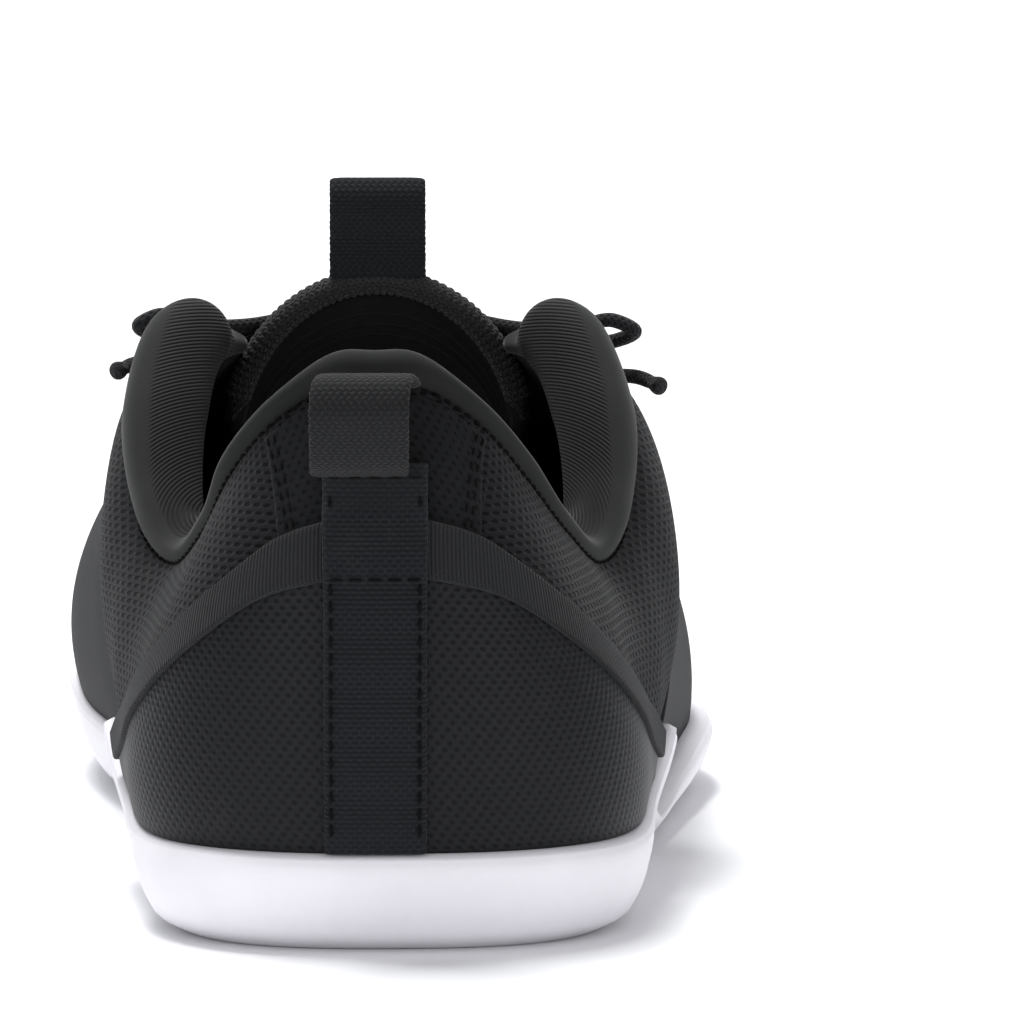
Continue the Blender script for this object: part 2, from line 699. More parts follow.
def free_route(route, sign, reach, drop=0.0):
    """Route of a free cord on one side."""
    points = []
    for out, along, up in route:
        points.append(placed(sign * out * reach, along, up - drop * max(out - 0.05, 0.0)))
    return points


def unit(vectors):
    """Vectors of length one."""
    vectors = np.asarray(vectors, float)
    return vectors / np.maximum(np.linalg.norm(vectors, axis=-1, keepdims=True), 1e-12)


def cumulative(points, axis):
    """Length walked along one axis of a line or grid of points."""
    step = np.linalg.norm(np.diff(points, axis=axis), axis=-1)
    total = np.cumsum(step, axis=axis)
    start = np.zeros_like(np.take(total, [0], axis=axis))
    return np.concatenate([start, total], axis=axis)


def put(piece, look, node=None):
    """Link a piece to the scene, give it its material and let it ride on the shoe."""
    bpy.context.scene.collection.objects.link(piece)
    piece.data.materials.clear()
    piece.data.materials.append(look)
    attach(piece, "root")
    if node:
        names = [node] if isinstance(node, str) else list(node)
        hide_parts(*names)
    return piece


def grid_faces(rows, size, closed_rows, closed_size):
    """Corner numbers of the faces of a grid, and the faces' own grid numbers."""
    i = np.arange(rows if closed_rows else rows - 1)
    k = np.arange(size if closed_size else size - 1)
    i, k = np.meshgrid(i, k, indexing="ij")
    j = (i + 1) % rows
    n = (k + 1) % size
    faces = np.stack([i * size + k, j * size + k, j * size + n, i * size + n], axis=-1)
    return faces.reshape(-1, 4), i.ravel(), k.ravel()


def faced_out(piece):
    """Turn every face of a piece outward."""
    work = bmesh.new()
    work.from_mesh(piece.data)
    bmesh.ops.recalc_face_normals(work, faces=work.faces)
    work.to_mesh(piece.data)
    work.free()
    return piece


def mesh_from(name, points, faces, maps=None):
    """Smooth mesh object with UV maps given for each face corner."""
    mesh = bpy.data.meshes.new(name)
    corners = np.asarray(points, float).reshape(-1, 3).tolist()
    mesh.from_pydata(corners, [], [list(map(int, face)) for face in faces])
    for label, values in (maps or {}).items():
        layer = mesh.uv_layers.new(name=label)
        layer.data.foreach_set("uv", np.asarray(values, np.float32).ravel())
    mesh.polygons.foreach_set("use_smooth", np.ones(len(mesh.polygons), bool))
    mesh.update()
    return bpy.data.objects.new(name, mesh)


def grid_piece(name, points, u, v, closed_u=False, closed_v=False, caps=False, more=None):
    """Smooth grid with a UV map in metres; closed ways get one more value of u or v at their end."""
    points = np.asarray(points, float)
    rows, size = points.shape[:2]
    faces, i, k = grid_faces(rows, size, closed_u, closed_v)
    corners_i = np.stack([i, i + 1, i + 1, i], axis=-1)
    corners_k = np.stack([k, k, k + 1, k + 1], axis=-1)
    maps = {"UVMap": np.stack([u[corners_i, corners_k], v[corners_i, corners_k]], axis=-1)}
    for label, (a, b) in (more or {}).items():
        maps[label] = np.stack([a[corners_i, corners_k], b[corners_i, corners_k]], axis=-1)
    faces = [tuple(f) for f in faces]
    if caps:
        extra = []
        for start, flip in ((0, False), ((rows - 1) * size, True)):
            for m in range(size // 2 - 1):
                quad = (start + m, start + m + 1, start + size - 2 - m, start + size - 1 - m)
                extra.append(quad[::-1] if flip else quad)
        faces += extra
        for label in maps:
            flat = maps[label].reshape(-1, 2)
            maps[label] = np.concatenate([flat, np.tile(flat[:1], (4 * len(extra), 1))])
    piece = mesh_from(name, points, faces, maps)
    return faced_out(piece)


def metric(points, closed_u=False, closed_v=False, u_row=None):
    """Lengths along both ways of a grid, as u and v with one more entry for each closed way."""
    ring = np.concatenate([points, points[:1]], axis=0) if closed_u else points
    ring = np.concatenate([ring, ring[:, :1]], axis=1) if closed_v else ring
    u = cumulative(ring, 0)
    v = cumulative(ring, 1)
    if u_row is not None:
        u = np.repeat(u[:, u_row : u_row + 1], ring.shape[1], axis=1)
    return u, v


def tube(name, route, radii, sides=14):
    """Round tube along a route with rounded ends and a UV map in metres."""
    route = np.asarray(route, float)
    run = unit(np.gradient(route, axis=0))
    side = unit(np.cross(run[0], (0.13, 0.21, 0.97)))
    sides_way = []
    for way in run:
        side = unit(side - way * np.dot(side, way))
        sides_way.append(side)
    side = np.array(sides_way)
    lift = np.cross(run, side)
    radii = np.broadcast_to(np.asarray(radii, float), len(route))
    turn = np.arange(sides) * math.tau / sides
    ring = side[:, None] * np.cos(turn)[:, None] + lift[:, None] * np.sin(turn)[:, None]
    rows = [route[0] + ring[0] * radii[0] * 0.05, route[0] + ring[0] * radii[0] * 0.75]
    rows += list(route[:, None] + ring * radii[:, None, None])
    rows += [route[-1] + ring[-1] * radii[-1] * 0.75, route[-1] + ring[-1] * radii[-1] * 0.05]
    rows = np.array(rows)
    rows[0] -= run[0] * radii[0] * 0.30
    rows[1] -= run[0] * radii[0] * 0.25
    rows[-2] += run[-1] * radii[-1] * 0.25
    rows[-1] += run[-1] * radii[-1] * 0.30
    u, v = metric(rows, closed_v=True, u_row=0)
    return grid_piece(name, rows, u, v, closed_v=True, caps=True)


def join_pieces(name, pieces):
    """One mesh object from several new pieces."""
    work = bmesh.new()
    for piece in pieces:
        work.from_mesh(piece.data)
    mesh = bpy.data.meshes.new(name)
    work.to_mesh(mesh)
    work.free()
    for piece in pieces:
        old = piece.data
        bpy.data.objects.remove(piece, do_unlink=True)
        bpy.data.meshes.remove(old)
    return bpy.data.objects.new(name, mesh)


def edge_rise(points, radius):
    """How far each point of a laid grid has risen from its edges, from 0 to 1 with a round shoulder."""
    u = cumulative(points, 0)
    v = cumulative(points, 1)
    away = np.minimum.reduce([u, u[-1:] - u, v, v[:, -1:] - v])
    share = np.clip(away / radius, 0.0, 1.0)
    return np.sqrt(1.0 - (1.0 - share) ** 2)


def spaced(count, share=0.03):
    """Numbers from 0 to 1 with extra ones close to both ends."""
    edge = share * np.array([0.0, 0.06, 0.2, 0.45, 1.0])
    return np.concatenate([edge[:-1], np.linspace(share, 1.0 - share, count), 1.0 - edge[-2::-1]])


def laid(
    name, foot, low, head, high, thick, look, node=None,
    rows=24, cols=60, under=0.0, soft=0.0006, turned=False,
):
    """Thin piece laid on the upper between places (foot, low) and (head, high), its edges turned down."""
    foot, low, head, high = (np.atleast_1d(np.asarray(x, float)) for x in (foot, low, head, high))
    old = np.linspace(0.0, 1.0, len(foot))
    new = spaced(cols, 0.02)
    foot, low, head, high = (smooth(old, x, new) for x in (foot, low, head, high))
    share = spaced(rows, 0.05)
    at = foot[:, None] + (head - foot)[:, None] * share
    t = low[:, None] + (high - low)[:, None] * share
    base = on_wall(at, t)
    rise = edge_rise(base, soft)
    lift = under * np.clip(rise * 2.0, 0.0, 1.0) + thick * rise - EDGE_TUCK * (1.0 - rise)
    points = base + wall_normal(at, t) * lift[..., None]
    u, v = metric(points)
    if turned:
        u, v = v, u
    return put(grid_piece(name, points, u, v), look, node)


def stitches(name, rows, look, pitch, size, thick):
    """Rows of thread stitches: each row has points and the way out of the fabric."""
    parts = []
    for points, out in rows:
        points = np.asarray(points, float)
        out = np.broadcast_to(np.asarray(out, float), points.shape)
        length = cumulative(points, 0)
        count = max(int(length[-1] / pitch), 1)
        for number in range(count):
            where = (number + 0.5) * length[-1] / count
            reach = np.clip(where + np.linspace(-0.5, 0.5, 7) * size, 0.0, length[-1])
            line = np.stack([np.interp(reach, length, points[:, k]) for k in range(3)], axis=1)
            up = unit(np.stack([np.interp(reach, length, out[:, k]) for k in range(3)], axis=1))
            bend = np.sin(np.linspace(0.0, math.pi, 7)) ** 0.6
            line = line + up * ((bend - 0.55) * thick * 1.2)[:, None]
            parts.append(tube("stitch", line, thick * (0.55 + 0.45 * bend), sides=6))
    return put(join_pieces(name, parts), look)


def new_look(name, roughness, sheen=0.0, coat=0.0, specular=0.5):
    """Empty material with its constant values set on the shader itself."""
    look = bpy.data.materials.new(name)
    look.use_nodes = True
    shader = look.node_tree.nodes["Principled BSDF"]
    shader.inputs["Roughness"].default_value = roughness
    shader.inputs["Sheen Weight"].default_value = sheen
    shader.inputs["Sheen Roughness"].default_value = 0.45
    shader.inputs["Coat Weight"].default_value = coat
    shader.inputs["Coat Roughness"].default_value = 0.35
    shader.inputs["Specular IOR Level"].default_value = specular
    return look, look.node_tree, shader


def calc(tree, operation, *values):
    """Math node over sockets and numbers."""
    item = tree.nodes.new("ShaderNodeMath")
    item.operation = operation
    for place, value in zip(item.inputs, values):
        if isinstance(value, bpy.types.NodeSocket):
            tree.links.new(value, place)
        else:
            place.default_value = value
    return item.outputs[0]


def shade(colour, share):
    """Colour made darker or lighter."""
    return tuple(value * share for value in colour)


def map_uv(tree, label="UVMap"):
    """The two coordinates of a UV map, in metres."""
    source = tree.nodes.new("ShaderNodeUVMap")
    source.uv_map = label
    split = tree.nodes.new("ShaderNodeSeparateXYZ")
    tree.links.new(source.outputs[0], split.inputs[0])
    return split.outputs[0], split.outputs[1]


def grain(tree, scale, detail=3.0, rough=0.6):
    """Noise over the surface's own place in the object."""
    place = tree.nodes.new("ShaderNodeTexCoord")
    item = tree.nodes.new("ShaderNodeTexNoise")
    item.inputs["Scale"].default_value = scale
    item.inputs["Detail"].default_value = detail
    item.inputs["Roughness"].default_value = rough
    tree.links.new(place.outputs["Object"], item.inputs["Vector"])
    return item.outputs["Fac"]


def spread(tree, value, low, high, to_low=0.0, to_high=1.0):
    """Value brought from one range into another, with a soft start and end."""
    item = tree.nodes.new("ShaderNodeMapRange")
    item.interpolation_type = "SMOOTHSTEP"
    for place, number in zip(item.inputs[1:5], (low, high, to_low, to_high)):
        place.default_value = number
    tree.links.new(value, item.inputs[0])
    return item.outputs[0]


def wave(tree, value, pitch, shift=0.0):
    """Sine wave from 0 to 1 with a pitch in metres."""
    angle = calc(tree, "MULTIPLY_ADD", value, math.tau / pitch, shift)
    return calc(tree, "MULTIPLY_ADD", calc(tree, "SINE", angle), 0.5, 0.5)


def cells(tree, u, v, pitch, half, soft=0.35):
    """Staggered oval cells: 1 in the middle of each cell and 0 between them."""
    row = calc(tree, "DIVIDE", v, pitch[1])
    step = calc(tree, "MULTIPLY", calc(tree, "FLOORED_MODULO", calc(tree, "FLOOR", row), 2.0), 0.5)
    column_at = calc(tree, "ADD", calc(tree, "DIVIDE", u, pitch[0]), step)
    x = calc(tree, "SUBTRACT", calc(tree, "FRACT", column_at), 0.5)
    y = calc(tree, "SUBTRACT", calc(tree, "FRACT", row), 0.5)
    x = calc(tree, "POWER", calc(tree, "ABSOLUTE", calc(tree, "MULTIPLY", x, pitch[0] / half[0])), 2.0)
    y = calc(tree, "POWER", calc(tree, "ABSOLUTE", calc(tree, "MULTIPLY", y, pitch[1] / half[1])), 2.0)
    away = calc(tree, "SQRT", calc(tree, "ADD", x, y))
    return spread(tree, away, 1.0 - soft, 1.0 + soft, 1.0, 0.0)


def tint(tree, share, first, second):
    """Colour between two colours."""
    item = tree.nodes.new("ShaderNodeMix")
    item.data_type = "RGBA"
    tree.links.new(share, item.inputs[0])
    for place, colour in ((item.inputs[6], first), (item.inputs[7], second)):
        if isinstance(colour, bpy.types.NodeSocket):
            tree.links.new(colour, place)
        else:
            place.default_value = (*colour, 1.0)
    return item.outputs[2]


def finish_look(look, tree, shader, colour, height, depth, wear=None):
    """Connect the colour and the relief, with dust in the colour where wear is given."""
    if wear is not None:
        colour = tint(tree, spread(tree, grain(tree, 55.0, 5.0, 0.7), 0.56, 0.80, 0.0, wear), colour, DUST)
    tree.links.new(colour, shader.inputs["Base Color"])
    bump = tree.nodes.new("ShaderNodeBump")
    bump.inputs["Strength"].default_value = 1.0
    bump.inputs["Distance"].default_value = depth
    tree.links.new(height, bump.inputs["Height"])
    tree.links.new(bump.outputs[0], shader.inputs["Normal"])
    return look


def fibre(tree, height, amount, scale=5200.0):
    """Height with fine fibre noise added."""
    return calc(tree, "MULTIPLY_ADD", grain(tree, scale, 2.0, 0.5), amount, height)


def rubber_look():
    """Matte white rubber with fine grain and faint scuffs."""
    look, tree, shader = new_look("sole_rubber", 0.52, specular=0.4)
    fine = grain(tree, 2600.0, 2.0, 0.5)
    broad = grain(tree, 38.0, 4.0, 0.6)
    colour = tint(tree, spread(tree, broad, 0.35, 0.75), WHITE, shade(WHITE, 0.94))
    marks = spread(tree, grain(tree, 260.0, 4.0, 0.75), 0.66, 0.74, 0.0, 0.35)
    place = tree.nodes.new("ShaderNodeTexCoord")
    split = tree.nodes.new("ShaderNodeSeparateXYZ")
    tree.links.new(place.outputs["Object"], split.inputs[0])
    near_floor = spread(tree, split.outputs[2], 0.0015, 0.0075, 1.0, 0.0)
    colour = tint(tree, calc(tree, "MULTIPLY", marks, near_floor), colour, SCUFF)
    colour = tint(tree, spread(tree, split.outputs[2], 0.0, 0.003, 0.25, 0.0), colour, FLOOR_DIRT)
    return finish_look(look, tree, shader, colour, fine, 0.00004)


def spacer_look(pitch, name="spacer_mesh", half=(0.00088, 0.00031), depth=HOLE_DEPTH):
    """Spacer mesh with rows of dark slots between soft yarn bars."""
    look, tree, shader = new_look(name, 0.90, sheen=0.06, specular=0.12)
    u, v = map_uv(tree)
    holes = cells(tree, u, v, (pitch, pitch * 0.46), half, 0.45)
    inner = cells(tree, u, v, (pitch, pitch * 0.46), (half[0] * 0.85, half[1] * 0.75), 0.4)
    yarn = wave(tree, u, 0.00042)
    colour = tint(tree, spread(tree, yarn, 0.0, 1.0, 0.0, 0.5), YARN, DARK_YARN)
    colour = tint(tree, holes, colour, DARK_YARN)
    colour = tint(tree, inner, colour, HOLE)
    bars = calc(tree, "SUBTRACT", 1.0, holes)
    height = calc(tree, "MULTIPLY_ADD", yarn, 0.10, bars)
    height = fibre(tree, height, 0.12)
    return finish_look(look, tree, shader, colour, height, depth, 0.10)


def dotted_look(name, colour, dot, pitch, half, roughness, depth, sheen, coat=0.0):
    """Smooth panel with staggered small dots pressed in."""
    look, tree, shader = new_look(name, roughness, sheen=sheen, coat=coat, specular=0.12)
    u, v = map_uv(tree)
    dots = cells(tree, u, v, pitch, half, 0.75)
    flecks = grain(tree, 1500.0, 3.0, 0.6)
    base = tint(tree, spread(tree, flecks, 0.3, 0.7), colour, shade(colour, 0.78))
    base = tint(tree, dots, base, dot)
    height = calc(tree, "SUBTRACT", 1.0, dots)
    return finish_look(look, tree, shader, base, fibre(tree, height, 0.25, 3800.0), depth, 0.08)


def webbing_look(name, colour, across, along, depth, slope=0.0, share=0.5, sheen=0.06, dark=0.45):
    """Woven webbing: ribs across it with a checker of small floats."""
    look, tree, shader = new_look(name, 0.80, sheen=sheen, specular=0.18)
    u, v = map_uv(tree)
    slant = calc(tree, "MULTIPLY_ADD", u, slope, v)
    ribs = wave(tree, slant, across)
    first = wave(tree, calc(tree, "ADD", u, v), along)
    second = wave(tree, calc(tree, "SUBTRACT", u, v), along)
    floats = calc(tree, "MULTIPLY", first, second)
    mixed = calc(tree, "MULTIPLY_ADD", floats, 1.0 - share, calc(tree, "MULTIPLY", ribs, share))
    mixed = fibre(tree, mixed, 0.15)
    base = tint(tree, spread(tree, mixed, 0.15, 0.75), shade(colour, dark), colour)
    return finish_look(look, tree, shader, base, mixed, depth, 0.08)


def ribbed_look(name, colour, pitch, depth=0.00020):
    """Soft lining with ribs along one map and a smooth margin where the map's other value is low."""
    look, tree, shader = new_look(name, 0.84, sheen=0.10, specular=0.15)
    u, v = map_uv(tree, "Ribs")
    ribs = wave(tree, u, pitch)
    on = spread(tree, v, 0.0, 1.0)
    shaped = calc(tree, "POWER", ribs, 0.6)
    height = calc(tree, "MULTIPLY_ADD", calc(tree, "SUBTRACT", shaped, 1.0), on, 1.0)
    base = tint(tree, height, shade(colour, 0.35), colour)
    base = tint(tree, on, shade(colour, 1.8), base)
    return finish_look(look, tree, shader, base, fibre(tree, height, 0.05), depth, 0.05)


def plain_look(name, colour, roughness, scale, depth, sheen=0.05, specular=0.15):
    """Fine fabric or coated panel with grain."""
    look, tree, shader = new_look(name, roughness, sheen=sheen, specular=specular)
    fine = grain(tree, scale, 4.0, 0.65)
    broad = grain(tree, 60.0, 3.0, 0.5)
    base = tint(tree, spread(tree, broad, 0.3, 0.7), colour, shade(colour, 0.86))
    base = tint(tree, spread(tree, fine, 0.35, 0.65), shade(colour, 0.7), base)
    return finish_look(look, tree, shader, base, fine, depth, 0.06)


def braid_look(name, colour):
    """Round braided cord."""
    look, tree, shader = new_look(name, 0.80, sheen=0.12, specular=0.2)
    u, v = map_uv(tree)
    first = wave(tree, calc(tree, "MULTIPLY_ADD", v, 0.9, u), 0.0011)
    second = wave(tree, calc(tree, "MULTIPLY_ADD", v, -0.9, u), 0.0011)
    braid = fibre(tree, calc(tree, "MAXIMUM", first, second), 0.2)
    base = tint(tree, spread(tree, braid, 0.35, 1.0), shade(colour, 0.4), colour)
    return finish_look(look, tree, shader, base, braid, 0.0002)


def capped(name, rings, across=10, groove=None):
    """Closed mesh from rings around the shoe, its bottom and top filled by rows from side to side."""
    rings = [np.asarray(ring) for ring in rings]
    size = len(rings[0])
    half = size // 2
    points = [p for ring in rings for p in ring]
    faces = []
    for i in range(len(rings) - 1):
        for k in range(size):
            n = (k + 1) % size
            faces.append((i * size + k, i * size + n, (i + 1) * size + n, (i + 1) * size + k))
    for base, ring, cut in ((0, rings[0], groove), ((len(rings) - 1) * size, rings[-1], None)):
        rows = []
        for k in range(1, half):
            row = [base + k]
            for a in range(1, across):
                place = ring[k] + (ring[size - k] - ring[k]) * (a / across)
                if cut is not None:
                    place = place + np.array([0.0, 0.0, cut(place, min(a, across - a) / across)])
                points.append(place)
                row.append(len(points) - 1)
            row.append(base + size - k)
            rows.append(row)
        for a in range(across):
            faces.append((base, rows[0][a], rows[0][a + 1]))
            faces.append((base + half, rows[-1][a], rows[-1][a + 1]))
        for first, second in zip(rows[:-1], rows[1:]):
            for a in range(across):
                faces.append((first[a], second[a], second[a + 1], first[a + 1]))
    points = np.array(points)
    corners = []
    for face in faces:
        for c in face:
            corners.append((points[c][0], points[c][1]))
    piece = mesh_from(name, points, faces, {"UVMap": corners})
    return faced_out(piece)


def tread_cut(place, edge_share):
    """Height of the tread's grooves above the floor at a place."""
    share = place[1] / LENGTH + 0.5
    bend = TREAD_BEND / LENGTH * math.sin(math.pi * min(edge_share * 2.0, 1.0) * 0.5)
    rise = 0.0
    for bar in TREAD_BARS:
        away = abs(share - bar - bend) * LENGTH / (TREAD_WIDTH * 0.5)
        rise = max(rise, 1.0 - away**6)
    return TREAD_DEPTH * max(rise, 0.0) * min(max(edge_share - 0.08, 0.0) / 0.06, 1.0)


def build_sole(look):
    """Cup sole with side wings, softly rounded along its top edge."""
    at = full_ring(150)
    out = plan_normal(at)
    edge = outline(at)
    tread = side_value(RIM, RIM_COLUMNS, "inner_tread", "outer_tread", at)[:, None] * BALL_WIDTH
    rise = rim_height(at)
    foot = edge - out * FEATHER_INSET
    lift = spring(foot[:, 1])
    stations = [row[0] for row in SOLE_SIDE]
    insets = [row[1] for row in SOLE_SIDE]
    rings = []
    for share in SOLE_LEVELS:
        inset = float(smooth(stations, insets, share))
        z = rise * share
        base = np.where((z > SOLE_FLOOR)[:, None], plan_at_height(at, z + lift, 0.0), foot)
        aim = np.sum((edge - out * tread * inset - base) * out, axis=1)
        full = 1.0 if share < EDGE_START else EDGE_NARROW
        least = np.where(z > SOLE_FLOOR * 0.8, RIM_GAP + SOLE_RIM * full, -1.0)
        blend = 0.5 * (aim + least + np.sqrt((aim - least) ** 2 + RIM_BLEND**2))
        apart = np.where(least > 0, blend, aim)
        plan = base + out * apart[:, None]
        sink = EDGE_SINK if share == 1.0 else EDGE_DROP * share**8
        rings.append(np.column_stack([plan, z - sink + spring(plan[:, 1])]))
    for share, more in SOLE_LIP:
        z = SOLE_FLOOR + (rise - SOLE_FLOOR) * share
        base = plan_at_height(at, z + lift, 0.0)
        plan = base + out * (RIM_GAP * 0.4 + SOLE_RIM * more)
        rings.append(np.column_stack([plan, z + spring(plan[:, 1])]))
    piece = capped("sole_skin", rings, across=14, groove=tread_cut)
    return put(piece, look, "outsole")


def build_insole(look):
    """Flat insert inside the upper."""
    at = full_ring(70)
    rings = []
    for height, shrink in ((0.0, 0.0), (0.6, 0.0), (0.85, 0.15), (1.0, 0.8)):
        level = SOLE_FLOOR + GAP + INSOLE * height
        foot = outline(at) - plan_normal(at) * FEATHER_INSET
        plan = plan_at_height(at, level + spring(foot[:, 1]), -(WALL + RIM_GAP * 0.6))
        plan = plan - plan_normal(at) * INSOLE_EDGE * shrink
        rings.append(np.column_stack([plan, level + spring(plan[:, 1])]))
    return put(capped("insole_skin", rings, across=8), look, "insole")


def crease(at, t):
    """Soft folds of the upper, placed by hand: outward shift at places of the wall."""
    shift = np.zeros(np.broadcast(at, t).shape)
    for place, height, wide, tall, slant, depth in CREASES:
        x = wrap(at - place - slant * (t - height))
        shift = shift + depth * np.exp(-((x / wide) ** 2) - ((t - height) / tall) ** 2)
    return shift


def quarter_end(t):
    """Ring number of the forward seam of the quarters, by height on the wall."""
    return SEAM_LOW + (SEAM_HIGH - SEAM_LOW) * t


def build_upper(looks):
    """Hollow upper with its lining, seams and soft folds."""
    at = full_ring(190)
    tuck = np.maximum(pad_size(at, "half_height"), pad_size(at, "half_thickness"))
    end = t_from_edge(at, np.where(tuck > GAP * 0.7, tuck * WALL_TUCK, 0.0))
    share = np.concatenate([np.linspace(0.0, 0.94, 60), [0.96, 0.975, 0.988, 1.0]])
    t = share[None, :] * end[:, None]
    a = np.broadcast_to(at[:, None], t.shape)
    normal = wall_normal(a, t)
    outer = wall_surface(a, t) + normal * crease(a, t)[..., None]
    for seam in SEAM_GROOVES:
        away = (np.abs(wrap(a)) - (quarter_end(t) + seam)) * SEAM_GIRTH
        outer = outer - normal * (SEAM_DEPTH * np.exp(-((away / SEAM_WIDTH) ** 2)))[..., None]
    back = share[::-2]
    ti = back[None, :] * end[:, None]
    ai = np.broadcast_to(at[:, None], ti.shape)
    inner = on_wall(ai, ti, -WALL)
    lip = 0.5 * (outer[:, -1] + inner[:, 0])
    rise = unit(outer[:, -1] - outer[:, -3]) * WALL * 0.3
    points = np.concatenate([outer, (lip + rise)[:, None], inner], axis=1)
    u, v = metric(points, closed_u=True, closed_v=True, u_row=40)
    top = v[:, len(share) - 1 : len(share)]
    height = np.pad(points[..., 2], ((0, 1), (0, 1)), mode="wrap")
    quarter = np.abs(wrap(np.pad(at, (0, 1), mode="wrap")))[:, None] < SEAM_HIGH + 0.012
    v = np.where(quarter, height * 1.03, top - v)
    piece = grid_piece("upper_skin", points, u, v, closed_u=True, closed_v=True)
    put(piece, looks[0], "upper")
    for look in looks[1:]:
        piece.data.materials.append(look)
    rows, size = points.shape[:2]
    index = np.zeros((rows, size), int)
    index[:, len(share) :] = 2
    index[:, -1] = 2
    reach = np.abs(wrap(a)) > quarter_end(t)
    index[:, : len(share)][reach] = 1
    kinds = index.ravel()
    i, k = grid_faces(rows, size, True, True)[1:]
    count = len(piece.data.polygons)
    piece.data.polygons.foreach_set("material_index", kinds[(i * size + k)][:count].astype(np.int32))
    piece.data.update()
    return piece


def build_collar(look):
    """Padded roll, its ribs fanning round the notch of the ankle."""
    at = np.linspace(-PAD_END, PAD_END, 361)
    angles = np.linspace(0.0, math.tau, 49)[:-1]
    half = pad_size(at, "half_height")[:, None]
    thick = pad_size(at, "half_thickness")[:, None]
    centre = wall_surface(at, np.ones_like(at))
    normal = wall_normal(at, np.ones_like(at))
    rise = unit(centre - wall_surface(at, np.full_like(at, 0.98)))
    middle = centre - normal * WALL * 0.5
    cosine = np.sign(np.cos(angles)) * np.abs(np.cos(angles)) ** ROLL_POWER
    sine = np.sign(np.sin(angles)) * np.abs(np.sin(angles)) ** ROLL_POWER
    outward = normal[:, None] * (thick * cosine)[..., None]
    points = middle[:, None] + outward + rise[:, None] * (half * sine)[..., None]
    ankle = np.clip((np.abs(at) - ANKLE_START) / ANKLE_FADE, 0.0, 1.0)
    dent = np.exp(-(((angles - DENT_ANGLE) / DENT_WIDTH) ** 2))
    points = points - normal[:, None] * (DENT_DEPTH * dent[None, :] * ankle[:, None])[..., None]
    notch = placed(*NOTCH)
    flat = points * np.array([1.0, NOTCH_DEPTH, 1.0])
    aim = notch[None, :] * np.stack([np.sign(at), np.full_like(at, NOTCH_DEPTH), np.ones_like(at)], axis=1)
    reach = np.linalg.norm(flat - aim[:, None], axis=-1)
    margin = np.cos(angles - RIBS_ANGLE)
    pad_only = np.clip((np.abs(at) - RIBS_START) / 0.02, 0.0, 1.0)
    crest = np.clip((RIBS_END - np.abs(at)) / 0.012, 0.0, 1.0)
    ribbed = np.clip((margin + RIBS_MARGIN) / 0.10, 0.0, 1.0)[None, :] * (pad_only * crest)[:, None]
    closed = [np.concatenate([part, part[:, :1]], axis=1) for part in (reach, ribbed)]
    u, v = metric(points, closed_v=True)
    piece = grid_piece("collar_roll", points, u, v, closed_v=True, caps=True, more={"Ribs": closed})
    put(piece, look, "collar_pad")
    return piece


def build_tongue(look, knit, lining):
    """Arched tongue with a knit roll along its free edge and piping under it."""
    share = np.concatenate([np.linspace(TONGUE_EDGE, 0.400, 40), np.linspace(0.404, TONGUE_END, 70)])
    angle = np.radians(np.linspace(-80, 80, 121))
    depth = np.where(np.abs(share - TONGUE_EDGE) < 0.0012, TONGUE * 0.1, 0.0)
    outer = np.array([tongue_point(s, angle, d) for s, d in zip(share, depth)])
    away = (share - share[0]) * LENGTH
    piping = np.zeros_like(away)
    for place in PIPING:
        piping = piping + PIPING_DEPTH * np.exp(-(((away - place) / PIPING_WIDTH) ** 2))
    inner = np.array([tongue_point(s, angle[::-1], TONGUE + p) for s, p in zip(share, piping)])
    points = np.concatenate([outer, inner], axis=1)
    u, v = metric(points, closed_v=True)
    piece = grid_piece("tongue_skin", points, u, v, closed_v=True, caps=True)
    put(piece, look, "tongue")
    piece.data.materials.append(lining)
    rows, size = points.shape[:2]
    k = grid_faces(rows, size, False, True)[2]
    kind = np.zeros(len(piece.data.polygons), np.int32)
    kind[: len(k)] = (k >= len(angle) - 1).astype(np.int32)
    piece.data.polygons.foreach_set("material_index", kind)
    turn = np.radians(np.linspace(-79, 79, 620))
    line = np.array([tongue_point(KNIT_LINE, a, TONGUE * 0.5) for a in turn])
    length = cumulative(line, 0)
    beat = np.abs(np.sin(math.pi * length / KNIT_PITCH))
    ends = np.clip(np.minimum(length, length[-1] - length) / 0.004, 0.25, 1.0)
    roll = tube("tongue_knit_edge", line, (KNIT_ROLL + KNIT_BEAT * beat**0.7) * ends, sides=22)
    return put(roll, knit)


def ribbon_skin(name, middle, facing, width, fabric, look, node):
    """Webbing along a line with rounded selvedges and slightly crowned faces."""
    middle = np.asarray(middle, float)
    run = unit(np.gradient(middle, axis=0))
    side = unit(facing)
    lift = unit(np.cross(run, side))
    across = np.concatenate([[-1.0, -0.985, -0.95], np.linspace(-0.9, 0.9, 15), [0.95, 0.985, 1.0]])
    crown = np.sqrt(np.clip(1.0 - np.abs(across) ** 14, 0.0, 1.0))
    top = np.stack([across * width / 2, crown * fabric / 2], axis=1)
    low = np.stack([across[::-1] * width / 2, -crown[::-1] * fabric / 2], axis=1)[1:-1]
    loop = np.concatenate([top, low])
    wobble = 0.00012 * np.sin(np.arange(len(middle)) * 2.1) + 0.00008 * np.sin(np.arange(len(middle)) * 0.7)
    wide = 1.0 + wobble[:, None] / width
    sideways = side * (loop[None, :, 0] * wide)[..., None]
    points = middle[:, None] + sideways + lift[:, None] * loop[None, :, 1:2]
    u, v = metric(points, closed_v=True, u_row=10)
    return put(grid_piece(name, points, v, u, closed_v=True, caps=True), look, node)


